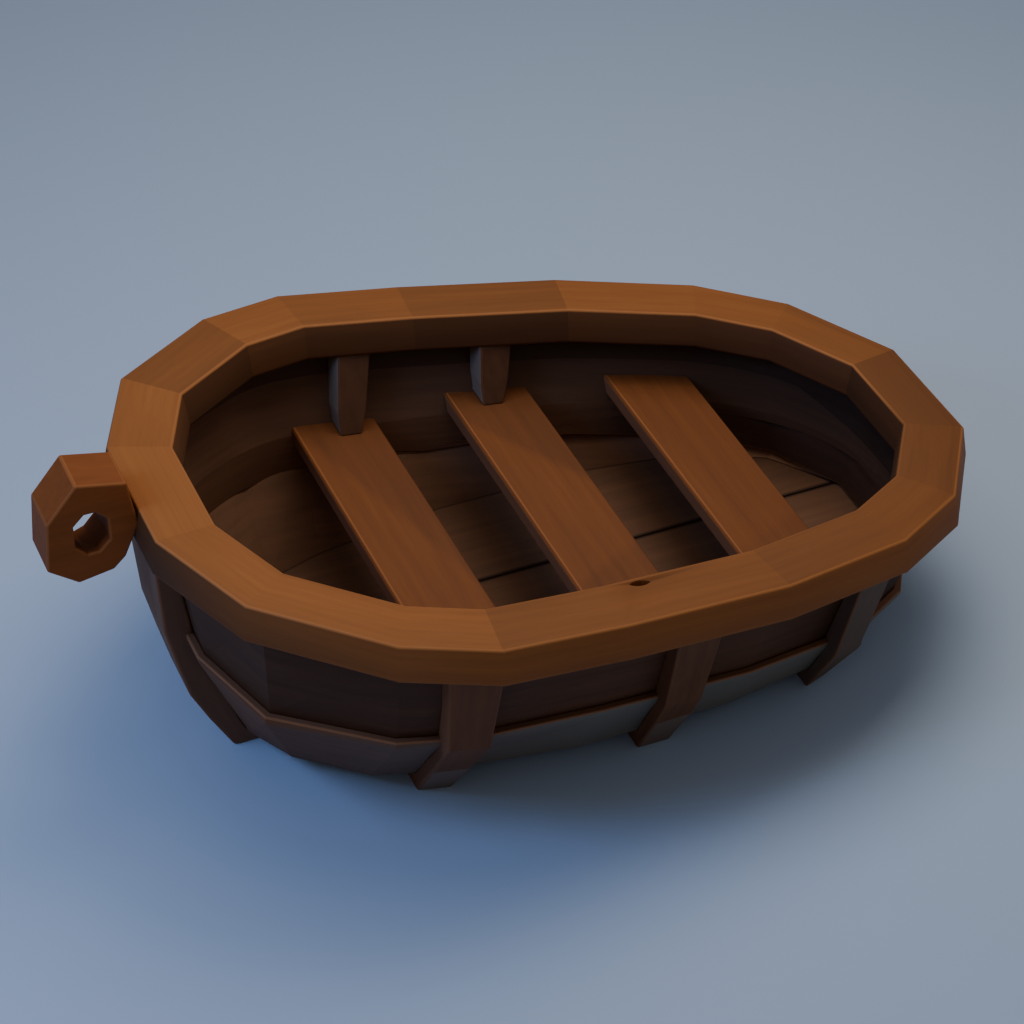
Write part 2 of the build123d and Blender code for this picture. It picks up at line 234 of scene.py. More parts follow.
# Grain coordinates: distance along the timber, across it and through it, in metres
# Guides that the grain follows: stem and sternpost from rail to keel (x, z), rib (half-breadth, z)
STEM_GUIDE = (
    (1.172, 0.90),
    (1.160, 0.497),
    (1.132, 0.366),
    (1.102, 0.239),
    (1.050, 0.124),
    (0.986, 0.0),
)
STERN_GUIDE = ((-1.172, 0.55), (-1.135, 0.190), (-1.112, 0.110), (-1.030, 0.0))
RIB_GUIDE = ((0.0, 0.0), (0.49, 0.0), (0.60, 0.19), (0.80, 0.68))
# Planking is thin, so its grain hardly changes through it
PLANKING_DEPTH_SHARE = 0.3
# Step from one timber's grain to the next one's: along, across, through
GRAIN_STEP = (7.3, 3.1, 1.7)
# First grain number of each kind of timber; the rail has the first of all
RAIL_GRAIN = 1
THWART_GRAIN = 20
PLANK_GRAIN = 30
KEEL_GRAIN = 40
STEM_GRAIN = 41
STERNPOST_GRAIN = 42
UPPER_STRAKE_GRAIN = 50
LOWER_STRAKE_GRAIN = 52
LINING_GRAIN = 54
RIB_GRAIN = 60
KNEE_GRAIN = 70
STARBOARD_GRAIN_STEP = 4
EYE_GRAIN = 80


def along_guide(guide, point):
    """Distance along a bent guide line to the place nearest a point, and the distance off it."""
    best = None
    run = 0.0
    for a, b in zip(guide, guide[1:]):
        start = Vector(a)
        step = Vector(b) - start
        share = hold((Vector(point) - start).dot(step) / step.length_squared, 0.0, 1.0)
        off = (Vector(point) - start - share * step).length
        if best is None or off < best[1]:
            best = (run + share * step.length, off)
        run += step.length
    return best


def grain_fore_and_aft(p):
    return p.x, p.y, p.z


def grain_athwart(p):
    return p.y, p.x, p.z


def grain_upright(p):
    return p.z, p.x, p.y


def grain_round_hull(p):
    run, off = along_guide(RAIL_KNUCKLES, (p.x, abs(p.y)))
    return run, p.z - SHEER_SLOPE * p.x, PLANKING_DEPTH_SHARE * off


def grain_of_rail(p):
    run, off = along_guide(RAIL_KNUCKLES, (p.x, abs(p.y)))
    return run, off, p.z - SHEER_SLOPE * p.x


def grain_of_rib(p):
    run, off = along_guide(RIB_GUIDE, (abs(p.y), p.z))
    return run, p.x, off


def grain_of_stem(p):
    run, off = along_guide(STEM_GUIDE, (p.x, p.z))
    return run, p.y, off


def grain_of_sternpost(p):
    run, off = along_guide(STERN_GUIDE, (p.x, p.z))
    return run, p.y, off


def lay_grain(mesh, rule, number):
    """Writes the grain coordinates, shifted so that no two timbers share a pattern."""
    layer = mesh.attributes.new("grain", "FLOAT_VECTOR", "POINT")
    for vertex in mesh.vertices:
        places = rule(vertex.co)
        layer.data[vertex.index].vector = [p + step * number for p, step in zip(places, GRAIN_STEP)]


def as_rule(value):
    return value if callable(value) else (lambda place, middle, normal: value)


def paint_shading_and_stain(mesh, tone, grey):
    """Writes the tone, which carries painted shade and painted light besides dark seams, and the grey
    painted reflection, each a number or a rule, at every face corner.

    A rule reads the corner's place, the middle of its face and its normal.
    """
    for name, rule in (("tone", as_rule(tone)), ("painted_reflection", as_rule(grey))):
        layer = mesh.attributes.new(name, "FLOAT", "CORNER")
        for face in mesh.polygons:
            middle = face.center.copy()
            for corner in face.loop_indices:
                place = mesh.vertices[mesh.loops[corner].vertex_index].co
                normal = mesh.corner_normals[corner].vector
                layer.data[corner].value = rule(place, middle, normal)


def finish_piece(name, mesh, slot, *replaced):
    mesh.materials.append(FINISHES[slot])
    piece = make_object(name, mesh)
    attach(piece, "root")
    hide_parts(*replaced)


# Rail: the section swept round the knuckles with mitred corners, then sheared to the sheer
# Painted shade of each length, standing in for the light on its facet, from the bow round by port, by the
# stern and back by starboard
RAIL_TONES = (
    1.25, 1.13, 1.11, 1.12, 0.87, 0.86, 0.76, 0.78, 0.71,
    0.64, 0.92, 0.98, 1.02, 0.79, 0.94, 1.07, 0.81, 1.11,
)
# Painted shade darkens the inner faces, with a grey painted reflection; painted light brightens the outer
# faces, and they are darker where they look forward
INNER_FACE_TONE = 0.50
INNER_FACE_GREY = 0.12
OUTER_FACE_TONE = 1.10
OUTER_BOW_DARKENING = 0.9
# Rubbing and its painted highlight reach this share of the edge's rounding; edges that look to starboard
# get less of it, as the painted highlight is weak there
RUBBED_AND_HIGHLIT_SHARE = 0.75
UNHIGHLIT_EDGE_FACING = -0.1
UNHIGHLIT_EDGE_SHARE = 0.25


def rail_tree(material):
    tree = bpy.data.node_groups.new("mitred_rail", "GeometryNodeTree")
    tree.interface.new_socket("Geometry", in_out="INPUT", socket_type="NodeSocketGeometry")
    tree.interface.new_socket("Geometry", in_out="OUTPUT", socket_type="NodeSocketGeometry")
    sizes = {
        "Width": RAIL_WIDTH,
        "Depth": RAIL_DEPTH,
        "Flare": RAIL_FLARE,
        "Edge round": RAIL_ROUND,
        "Top amidships": RAIL_TOP_AMIDSHIPS,
        "Sheer slope": SHEER_SLOPE,
        "Pocket length": POCKET_LENGTH,
        "Pocket width": POCKET_WIDTH,
        "Pocket depth": POCKET_DEPTH,
    }
    identifiers = {}
    for name in sizes:
        socket = tree.interface.new_socket(name, in_out="INPUT", socket_type="NodeSocketFloat")
        identifiers[name] = socket.identifier
    given = node(tree, "NodeGroupInput").outputs

    # Path with its corners opened out by the mitre
    path = node(tree, "GeometryNodeMeshToCurve")
    link(tree, given["Geometry"], path.inputs["Mesh"])
    upright = node(tree, "GeometryNodeSetCurveNormal", mode="Z_UP")
    link(tree, path.outputs["Curve"], upright.inputs["Curve"])
    place = node(tree, "GeometryNodeInputPosition").outputs["Position"]
    own_index = node(tree, "GeometryNodeInputIndex").outputs["Index"]
    neighbours = []
    for offset in (-1, 1):
        beside = node(tree, "GeometryNodeOffsetPointInCurve")
        link(tree, own_index, beside.inputs["Point Index"])
        beside.inputs["Offset"].default_value = offset
        there = node(tree, "GeometryNodeFieldAtIndex", data_type="FLOAT_VECTOR", domain="POINT")
        link(tree, place, there.inputs["Value"])
        link(tree, beside.outputs["Point Index"], there.inputs["Index"])
        neighbours.append(there.outputs["Value"])
    runs = []
    for start, end in ((neighbours[0], place), (place, neighbours[1])):
        step = vector_node(tree, "SUBTRACT", end, start)
        unit = node(tree, "ShaderNodeVectorMath", operation="NORMALIZE")
        link(tree, step.outputs["Vector"], unit.inputs[0])
        runs.append(unit.outputs["Vector"])
    turn = vector_node(tree, "DOT_PRODUCT", runs[0], runs[1]).outputs["Value"]
    half = sum_node(tree, "MULTIPLY", sum_node(tree, "ADD", turn, 1.0), 0.5)
    mitre = sum_node(tree, "DIVIDE", 1.0, sum_node(tree, "SQRT", half))

    # Section: a trapezium with rounded edges, its outer top corner on the path
    section = node(tree, "GeometryNodeCurvePrimitiveQuadrilateral", mode="TRAPEZOID")
    link(tree, given["Width"], section.inputs["Top Width"])
    foot = sum_node(tree, "MULTIPLY_ADD", given["Flare"], 2.0, given["Width"])
    link(tree, foot, section.inputs["Bottom Width"])
    link(tree, given["Depth"], section.inputs["Height"])
    section.inputs["Offset"].default_value = 0.0
    rounded = node(tree, "GeometryNodeFilletCurve", mode="POLY")
    link(tree, section.outputs["Curve"], rounded.inputs["Curve"])
    link(tree, given["Edge round"], rounded.inputs["Radius"])
    rounded.inputs["Count"].default_value = RAIL_ROUND_STEPS

    # Marks on the section: how far a point lies below the top, and whether its edge is rubbed and carries a
    # painted highlight
    apart = node(tree, "ShaderNodeSeparateXYZ")
    link(tree, node(tree, "GeometryNodeInputPosition").outputs["Position"], apart.inputs["Vector"])
    half_depth = sum_node(tree, "MULTIPLY", given["Depth"], 0.5)
    drop = sum_node(tree, "SUBTRACT", half_depth, apart.outputs["Y"])
    half_width = sum_node(tree, "MULTIPLY", given["Width"], 0.5)
    off_middle = sum_node(tree, "ABSOLUTE", apart.outputs["X"])
    from_side = sum_node(tree, "SUBTRACT", half_width, off_middle)
    rub_and_highlight_reach = sum_node(tree, "MULTIPLY", given["Edge round"], RUBBED_AND_HIGHLIT_SHARE)
    on_side = sum_node(tree, "LESS_THAN", from_side, rub_and_highlight_reach)
    on_top = sum_node(tree, "LESS_THAN", drop, rub_and_highlight_reach)
    worn_and_highlit = sum_node(tree, "MULTIPLY", on_side, on_top)
    marked = rounded.outputs["Curve"]
    for name, value in (("drop", drop), ("worn_and_highlit", worn_and_highlit)):
        mark = node(tree, "GeometryNodeStoreNamedAttribute", data_type="FLOAT", domain="POINT")
        mark.inputs["Name"].default_value = name
        link(tree, marked, mark.inputs["Geometry"])
        link(tree, value, mark.inputs["Value"])
        marked = mark.outputs["Geometry"]
    inboard = node(tree, "ShaderNodeCombineXYZ")
    link(tree, sum_node(tree, "MULTIPLY", given["Width"], -0.5), inboard.inputs["X"])
    seated = node(tree, "GeometryNodeTransform")
    link(tree, marked, seated.inputs["Geometry"])
    link(tree, inboard.outputs["Vector"], seated.inputs["Translation"])

    sweep = node(tree, "GeometryNodeCurveToMesh")
    link(tree, upright.outputs["Curve"], sweep.inputs["Curve"])
    link(tree, seated.outputs["Geometry"], sweep.inputs["Profile Curve"])
    link(tree, mitre, sweep.inputs["Scale"])

    # Heights follow the sheer, whatever the mitre did to them
    swept = node(tree, "ShaderNodeSeparateXYZ")
    link(tree, node(tree, "GeometryNodeInputPosition").outputs["Position"], swept.inputs["Vector"])
    read_drop = node(tree, "GeometryNodeInputNamedAttribute", data_type="FLOAT")
    read_drop.inputs["Name"].default_value = "drop"
    sheer = sum_node(
        tree, "MULTIPLY_ADD", swept.outputs["X"], given["Sheer slope"], given["Top amidships"]
    )
    level = node(tree, "ShaderNodeCombineXYZ")
    link(tree, swept.outputs["X"], level.inputs["X"])
    link(tree, swept.outputs["Y"], level.inputs["Y"])
    link(tree, sum_node(tree, "SUBTRACT", sheer, read_drop.outputs["Attribute"]), level.inputs["Z"])
    sheared = node(tree, "GeometryNodeSetPosition")
    link(tree, sweep.outputs["Mesh"], sheared.inputs["Geometry"])
    link(tree, level.outputs["Vector"], sheared.inputs["Position"])

    # Pocket: the lens where two round bars overlap
    width_squared = sum_node(tree, "POWER", given["Pocket width"], 2.0)
    length_squared = sum_node(tree, "POWER", given["Pocket length"], 2.0)
    chord = sum_node(tree, "ADD", width_squared, length_squared)
    quarter = sum_node(tree, "MULTIPLY", chord, 0.25)
    radius = sum_node(tree, "DIVIDE", quarter, given["Pocket width"])
    half_pocket = sum_node(tree, "MULTIPLY", given["Pocket width"], 0.5)
    spread = sum_node(tree, "SUBTRACT", radius, half_pocket)
    lens = node(tree, "GeometryNodeMeshBoolean", operation="INTERSECT", solver="EXACT")
    for side in (1.0, -1.0):
        bar = node(tree, "GeometryNodeMeshCylinder")
        bar.inputs["Vertices"].default_value = POCKET_BAR_SIDES
        link(tree, radius, bar.inputs["Radius"])
        link(tree, sum_node(tree, "MULTIPLY", given["Pocket depth"], 2.0), bar.inputs["Depth"])
        centre = node(tree, "ShaderNodeCombineXYZ")
        centre.inputs["X"].default_value = POCKET_X
        link(tree, sum_node(tree, "MULTIPLY_ADD", spread, side, POCKET_Y), centre.inputs["Y"])
        centre.inputs["Z"].default_value = sheer_height(POCKET_X)
        moved = node(tree, "GeometryNodeTransform")
        link(tree, bar.outputs["Mesh"], moved.inputs["Geometry"])
        link(tree, centre.outputs["Vector"], moved.inputs["Translation"])
        link(tree, moved.outputs["Geometry"], lens.inputs["Mesh 2"])
    cut = node(tree, "GeometryNodeMeshBoolean", operation="DIFFERENCE", solver="EXACT")
    link(tree, sheared.outputs["Geometry"], cut.inputs["Mesh 1"])
    link(tree, lens.outputs["Mesh"], cut.inputs["Mesh 2"])

    real = node(tree, "GeometryNodeRealizeInstances")
    link(tree, cut.outputs["Mesh"], real.inputs["Geometry"])
    finish = node(tree, "GeometryNodeSetMaterial")
    finish.inputs["Material"].default_value = material
    link(tree, real.outputs["Geometry"], finish.inputs["Geometry"])
    link(tree, finish.outputs["Geometry"], node(tree, "NodeGroupOutput").inputs["Geometry"])
    return tree, {identifiers[name]: value for name, value in sizes.items()}


def plain_mesh_from_tree(name, guide_mesh, tree, values):
    """Runs a tree on a guide mesh and keeps the result as a plain mesh."""
    worker = make_object(name + "_guide", guide_mesh)
    modifier = worker.modifiers.new("build", "NODES")
    modifier.node_group = tree
    for identifier, value in values.items():
        modifier[identifier] = value
    depsgraph = bpy.context.evaluated_depsgraph_get()
    mesh = bpy.data.meshes.new_from_object(worker.evaluated_get(depsgraph))
    worker.modifiers.remove(modifier)
    bpy.data.objects.remove(worker)
    mesh.name = name
    return mesh


def rail_ring():
    port = list(RAIL_KNUCKLES)
    starboard = [(x, -y) for x, y in reversed(port)]
    ring = [(x, y, 0.0) for x, y in port + starboard]
    guide = bpy.data.meshes.new("rail_guide")
    guide.from_pydata(ring, [(i, (i + 1) % len(ring)) for i in range(len(ring))], [])
    tree, values = rail_tree(FINISHES["rail_wood"])
    mesh = plain_mesh_from_tree("rail", guide, tree, values)

    body = bmesh.new()
    body.from_mesh(mesh)
    bmesh.ops.recalc_face_normals(body, faces=body.faces)
    body.to_mesh(mesh)
    body.free()

    lay_grain(mesh, grain_of_rail, RAIL_GRAIN)
    worn_and_highlit = mesh.attributes["worn_and_highlit"]
    # Less of the painted highlight on rail edges that look to starboard
    for vertex in mesh.vertices:
        if vertex.normal.y < UNHIGHLIT_EDGE_FACING:
            worn_and_highlit.data[vertex.index].value *= UNHIGHLIT_EDGE_SHARE

    def nearest_length(middle, normal):
        """The number of the nearest length of the rail, and how far a face there looks inboard."""
        spot = Vector((middle.x, middle.y))
        nearest = None
        for i, (a, b) in enumerate(zip(ring, ring[1:] + ring[:1])):
            start = Vector(a[:2])
            step = Vector(b[:2]) - start
            share = hold((spot - start).dot(step) / step.length_squared, 0.0, 1.0)
            off = (spot - start - share * step).length
            if nearest is None or off < nearest[0]:
                nearest = (off, i, Vector((-step.y, step.x)).normalized())
        return (nearest[1] + 1) % len(RAIL_TONES), Vector(normal[:2]).dot(nearest[2])

    # Painted shade and light for each length and face, and the grey painted reflection on the inner faces
    def length_tone(place, middle, normal):
        number, inboard = nearest_length(middle, normal)
        if inboard > FACING:
            return INNER_FACE_TONE * RAIL_TONES[number]
        if inboard < -FACING:
            return OUTER_FACE_TONE - OUTER_BOW_DARKENING * max(normal.x, 0.0) ** 3
        return RAIL_TONES[number]

    def length_grey(place, middle, normal):
        return INNER_FACE_GREY if nearest_length(middle, normal)[1] > FACING else 0.0

    paint_shading_and_stain(mesh, length_tone, length_grey)
    lengths = ["rail_%s_%d" % (side, i) for side in ("port", "starboard") for i in range(1, 9)]
    mesh.materials.clear()
    finish_piece("rail_ring", mesh, "rail_wood", "rail_bow", "rail_stern", *lengths)


# Other timbers: each follows its solid, with its edges eased and rubbed paler, which is partly a painted
# highlight
MERGE_REACH = 2e-5
CUT_REACH = 1e-5
FLAT_ANGLE = math.radians(0.5)
EASE_STEPS = 3
TIMBER_EASE = 0.006
SPINE_EASE = 0.008
LAP_EASE = 0.003
SEAM_EASE = 0.003
# Angles between two faces, in degrees, past which their edge is eased
TIMBER_SHARP = 25.0
AFT_EDGE_SHARP = 60.0
STRAKE_SHARP = 45.0
EYE_SHARP = 15.0
# Shortest edges that are eased
SHORTEST_EDGE = 0.02
SHORTEST_EYE_EDGE = 0.005
SHORTEST_IN_EASES = 4


def solid_copy(name):
    body = bmesh.new()
    body.from_mesh(cad[name].data)
    bmesh.ops.remove_doubles(body, verts=body.verts, dist=MERGE_REACH)
    bmesh.ops.dissolve_limit(body, angle_limit=FLAT_ANGLE, verts=body.verts, edges=body.edges)
    return body


def sharp_edges(body, angle, shortest):
    edges = []
    for edge in body.edges:
        if len(edge.link_faces) == 2 and edge.is_convex and edge.calc_length() > shortest:
            if edge.calc_face_angle() > math.radians(angle):
                edges.append(edge)
    return edges


def ease_edges(body, edges, ease, rub_and_highlight):
    """Rounds edges over and marks the rounding as rubbed, partly as a painted highlight."""
    worn_and_highlit = body.faces.layers.float.get("worn_and_highlit") or body.faces.layers.float.new("worn_and_highlit")
    made = bmesh.ops.bevel(
        body,
        geom=edges,
        offset=ease,
        offset_type="OFFSET",
        segments=EASE_STEPS,
        profile=0.5,
        affect="EDGES",
    )
    for face in made["faces"]:
        face[worn_and_highlit] = rub_and_highlight


def split(body, spot, way):
    """Parts the faces that a plane crosses, so that the shape, the seam stain and the painted shade can
    change there.
    """
    everything = body.verts[:] + body.edges[:] + body.faces[:]
    bmesh.ops.bisect_plane(body, geom=everything, dist=CUT_REACH, plane_co=spot, plane_no=way)


def finish_body(body, name, ending, slot, rule, number, tone, grey):
    """Turns a worked body into the finished piece that replaces a solid."""
    mesh = bpy.data.meshes.new(name + ending)
    body.to_mesh(mesh)
    body.free()
    lay_grain(mesh, rule, number)
    paint_shading_and_stain(mesh, tone, grey)
    finish_piece(name + ending, mesh, slot, name)


def dress_timber(
    name,
    slot,
    rule,
    number,
    ease=TIMBER_EASE,
    sharp=TIMBER_SHARP,
    rub_and_highlight=1.0,
    picked=None,
    cuts=(),
    tone=1.0,
    grey=0.0,
):
    """A timber with its sharp edges eased.

    A picked rule narrows the edges down, and cuts are planes where the stain changes.
    """
    body = solid_copy(name)
    edges = sharp_edges(body, sharp, SHORTEST_IN_EASES * ease)
    if picked:
        edges = [edge for edge in edges if picked(edge)]
    ease_edges(body, edges, ease, rub_and_highlight)
    for spot, way in cuts:
        split(body, spot, way)
    finish_body(body, name, "_timber", slot, rule, number, tone, grey)


# Thwarts: painted shade, darker beyond soft slanting lines, and painted light with a grey painted
# reflection on the fore faces
# Columns: thwart, x and y on the line, x and y of the way to the darker side, darker tone
THWART_SHADES = (
    ("thwart_bow", 0.394, -0.152, -0.955, -0.296, 0.80),
    ("thwart_middle", -0.092, -0.254, -0.816, -0.578, 0.80),
    ("thwart_middle", -0.116, 0.208, -0.505, 0.863, 0.88),
    ("thwart_stern", -0.640, -0.138, -0.973, -0.229, 0.95),
    ("thwart_stern", -0.694, 0.172, -0.431, 0.902, 0.92),
)
SHADE_SOFTNESS = 0.018
FORE_FACE_TONE = 1.25
FORE_FACE_GREY = 0.22
# Paler rubbing on the edges, partly a painted highlight: strong on the fore edges, faint on the aft ones
FORE_EDGE_RUB_AND_HIGHLIGHT = 0.8
AFT_EDGE_RUB_AND_HIGHLIGHT = 0.1


def fore_face_grey(place, middle, normal):
    return FORE_FACE_GREY if normal.x > FACING else 0.0


def dress_thwart(name, number):
    body = solid_copy(name)
    low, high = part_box(name)
    middle_x = (low[0] + high[0]) / 2.0
    edges = sharp_edges(body, TIMBER_SHARP, SHORTEST_EDGE)
    fore = [edge for edge in edges if all(v.co.x > middle_x for v in edge.verts)]
    ease_edges(body, fore, TIMBER_EASE, FORE_EDGE_RUB_AND_HIGHLIGHT)
    edges = sharp_edges(body, AFT_EDGE_SHARP, SHORTEST_EDGE)
    aft = [edge for edge in edges if all(v.co.x < middle_x for v in edge.verts)]
    ease_edges(body, aft, TIMBER_EASE, AFT_EDGE_RUB_AND_HIGHLIGHT)

    lines = []
    for thwart, x, y, way_x, way_y, dark in THWART_SHADES:
        if thwart == name:
            lines.append((Vector((x, y, 0.0)), Vector((way_x, way_y, 0.0)), dark))
    for spot, way, dark in lines:
        for offset in (-SHADE_SOFTNESS, SHADE_SOFTNESS):
            split(body, spot + offset * way, way)

    def seat_tone(place, middle, normal):
        if normal.x > FACING:
            return FORE_FACE_TONE
        tone = 1.0
        for spot, way, dark in lines:
            beyond = ((place - spot).dot(way) / SHADE_SOFTNESS + 1.0) / 2.0
            tone *= 1.0 + (dark - 1.0) * hold(beyond, 0.0, 1.0)
        return tone

    finish_body(
        body, name, "_timber", "thwart_wood", grain_athwart, number, seat_tone, fore_face_grey
    )


# Lining: a painted shadow near black under the rail, painted shade on the brown wall, painted light on the
# upright face below its nose and a grey painted reflection all over
# Painted shadow in a strip below the rail, reaching lower at the stern
STRIP_BELOW_RAIL = 0.090
STRIP_TONE = 0.55
STERN_STRIP_X = -0.954
STERN_STRIP_SLOPE = 0.75
LINING_NOSE_AMIDSHIPS = 0.390
LINING_NOSE_SLOPE = 0.122
NOSE_REACH = 0.006
LINING_FOOT_AMIDSHIPS = 0.303
LINING_FOOT_SLOPE = 0.060
FOOT_REACH = 0.01
LINING_TUCK = 0.030
TUCK_FORE_X = 0.60
TUCK_AFT_X = -0.50
LINING_GREY = 0.08
LINING_STEPS = 8
LINING_CREASE = math.radians(8.0)
# Painted shade on the wall, darker where it looks forward, and painted light on the upright face, changing
# along the boat
WALL_TONE = 0.9
WALL_LEAST_TONE = 0.62
UPRIGHT_FACE_TONE = {"amidships": 2.01, "per_metre": 1.7, "least": 0.75, "most": 1.5}


def strip_height(x):
    foot = sheer_height(x) - RAIL_DEPTH - STRIP_BELOW_RAIL
    corner = sheer_height(STERN_STRIP_X) - RAIL_DEPTH - STRIP_BELOW_RAIL
    return min(foot, corner + STERN_STRIP_SLOPE * (x - STERN_STRIP_X))


def lining_tone(place, middle, normal):
    if abs(normal.z) < UPRIGHT:
        return fade(place.x, **UPRIGHT_FACE_TONE)
    wall = max(WALL_TONE - WALL_TONE * normal.x, WALL_LEAST_TONE)
    return STRIP_TONE * wall if middle.z > strip_height(middle.x) else wall


def lining_knuckles(body):
    """The lining's knuckles in plan, from bow to stern, read at its nose."""
    spots = set()
    for vertex in body.verts:
        nose = LINING_NOSE_AMIDSHIPS + LINING_NOSE_SLOPE * vertex.co.x
        if abs(vertex.co.z - nose) < NOSE_REACH:
            spots.add((round(vertex.co.x, 4), round(vertex.co.y, 4)))
    from_bow = sorted(spots, key=lambda spot: math.atan2(abs(spot[1]), spot[0]))
    return [Vector(spot) for spot in from_bow]


def fair_curve(knuckles, i, share):
    """A place on a curve that rounds each knuckle between the middles of its straight lengths."""
    corner, way = (i, 0.5 + share) if share < 0.5 else (i + 1, share - 0.5)
    if corner in (0, len(knuckles) - 1):
        return knuckles[i].lerp(knuckles[i + 1], share)
    before = knuckles[corner - 1].lerp(knuckles[corner], 0.5)
    after = knuckles[corner].lerp(knuckles[corner + 1], 0.5)
    return (1.0 - way) ** 2 * before + 2.0 * way * (1.0 - way) * knuckles[corner] + way**2 * after


def tuck_foot(body):
    """Runs the lining's foot amidships down into the strake, so that no gap opens under it."""
    for vertex in body.verts:
        foot = LINING_FOOT_AMIDSHIPS + LINING_FOOT_SLOPE * vertex.co.x
        if abs(vertex.co.z - foot) < FOOT_REACH and TUCK_AFT_X < vertex.co.x < TUCK_FORE_X:
            vertex.co.z -= LINING_TUCK


def fair_lining(body):
    """Bends the lining's straight lengths, in plan, to one fair curve."""
    knuckles = lining_knuckles(body)
    runs = [(b - a).normalized() for a, b in zip(knuckles, knuckles[1:])]
    mitres = [(a + b).normalized() for a, b in zip(runs[:1] + runs, runs + runs[-1:])]
    for i in range(len(runs)):
        for step in range(1, LINING_STEPS):
            share = step / LINING_STEPS
            spot = knuckles[i].lerp(knuckles[i + 1], share).to_3d()
            split(body, spot, mitres[i].lerp(mitres[i + 1], share).to_3d())
    for vertex in body.verts:
        here = vertex.co.to_2d()
        past = [(here - spot).dot(way) for spot, way in zip(knuckles, mitres)]
        i = max([k for k in range(len(runs)) if past[k] > -CUT_REACH], default=0)
        share = hold(past[i] / (past[i] - past[i + 1]), 0.0, 1.0)
        shift = fair_curve(knuckles, i, share) - knuckles[i].lerp(knuckles[i + 1], share)
        vertex.co += shift.to_3d()
    body.normal_update()


def dress_lining(name, number):
    body = solid_copy(name)
    body.faces.layers.float.new("worn_and_highlit")
    tuck_foot(body)
    fair_lining(body)
    strip_corner = Vector((STERN_STRIP_X, 0.0, strip_height(STERN_STRIP_X)))
    for slope in (SHEER_SLOPE, STERN_STRIP_SLOPE):
        split(body, strip_corner, Vector((-slope, 0.0, 1.0)).normalized())
    for face in body.faces:
        face.smooth = True
    for edge in body.edges:
        edge.smooth = len(edge.link_faces) == 2 and edge.calc_face_angle() < LINING_CREASE
    finish_body(
        body, name, "_timber", "planking_wood", grain_round_hull, number, lining_tone, LINING_GREY
    )


# Mooring eye: an eight-sided block pierced athwart, its hole flared at the far side
# Columns: x and z of the outline about the eye's centre, x and z of the hole, x and z of the flare
EYE_CENTRE_X = 1.314
EYE_CENTRE_Z = 0.8658
EYE_WIDTH = 0.145
EYE_OUTLINE = (
    (0.029, 0.162, 0.015, 0.063, 0.000, 0.000),
    (-0.103, 0.132, -0.015, 0.063, 0.000, 0.000),
    (-0.124, -0.008, -0.045, 0.033, 0.000, 0.000),
    (-0.082, -0.102, -0.045, -0.033, 0.000, -0.012),
    (-0.048, -0.134, -0.015, -0.063, 0.004, -0.020),
    (0.047, -0.150, 0.015, -0.063, 0.012, -0.034),
    (0.126, -0.088, 0.045, -0.033, 0.012, -0.020),
    (0.114, 0.060, 0.045, 0.033, 0.006, 0.000),
)
# Paler rubbed edges, partly a painted highlight, and painted light on the face that looks to port
EYE_EDGE_RUB_AND_HIGHLIGHT = 0.7
EYE_PORT_FACING = 0.8
EYE_PORT_TONE = 1.3


def eye_tone(place, middle, normal):
    return EYE_PORT_TONE if normal.y > EYE_PORT_FACING else 1.0


def mooring_eye():
    body = bmesh.new()
    rims = []
    for y, flare in ((EYE_WIDTH / 2, 0.0), (-EYE_WIDTH / 2, 1.0)):
        outer = []
        inner = []
        for x, z, hole_x, hole_z, flare_x, flare_z in EYE_OUTLINE:
            rim_x = EYE_CENTRE_X + hole_x + flare * flare_x
            rim_z = EYE_CENTRE_Z + hole_z + flare * flare_z
            outer.append(body.verts.new((EYE_CENTRE_X + x, y, EYE_CENTRE_Z + z)))
            inner.append(body.verts.new((rim_x, y, rim_z)))
        rims.append((outer, inner))
    (near_outer, near_inner), (far_outer, far_inner) = rims
    for i in range(len(EYE_OUTLINE)):
        k = (i + 1) % len(EYE_OUTLINE)
        body.faces.new((near_outer[i], near_outer[k], near_inner[k], near_inner[i]))
        body.faces.new((far_outer[k], far_outer[i], far_inner[i], far_inner[k]))
        body.faces.new((near_outer[k], near_outer[i], far_outer[i], far_outer[k]))
        body.faces.new((near_inner[i], near_inner[k], far_inner[k], far_inner[i]))
    bmesh.ops.recalc_face_normals(body, faces=body.faces)
    edges = sharp_edges(body, EYE_SHARP, SHORTEST_EYE_EDGE)
    ease_edges(body, edges, TIMBER_EASE, EYE_EDGE_RUB_AND_HIGHLIGHT)
    finish_body(
        body, "mooring_eye", "_block", "eye_wood", grain_fore_and_aft, EYE_GRAIN, eye_tone, 0.0
    )


# Bottom planks: the stain is dark along every seam; painted light brightens the boards and a grey painted
# reflection covers them
SEAM_LINE = 0.009
SEAM_TONE = 0.35
SEAM_REACH = 0.006
SEAM_DROP = 0.002
LEVEL = 0.99
PLANK_TONE = 1.4
PLANK_GREY = 0.10


def on_plank_seam(edge):
    beside_seam = all(abs(abs(v.co.y) - PLANK_SEAM_Y) < SEAM_REACH for v in edge.verts)
    return beside_seam and all(v.co.z > BOTTOM_TOP - SEAM_DROP for v in edge.verts)


def rounded_place(place):
    return tuple(round(c, 5) for c in place)


def dress_plank(name, number):
    body = solid_copy(name)
    edges = sharp_edges(body, TIMBER_SHARP, SHORTEST_EDGE)
    ease_edges(body, [edge for edge in edges if on_plank_seam(edge)], SEAM_EASE, 0.0)
    tops = [face for face in body.faces if face.normal.z > LEVEL]
    bmesh.ops.inset_region(body, faces=tops, thickness=SEAM_LINE, use_even_offset=True)
    board = {rounded_place(v.co) for face in tops for v in face.verts}

    def plank_tone(place, middle, normal):
        return PLANK_TONE if rounded_place(place) in board else SEAM_TONE

    finish_body(
        body, name, "_timber", "planking_wood", grain_fore_and_aft, number, plank_tone, PLANK_GREY
    )


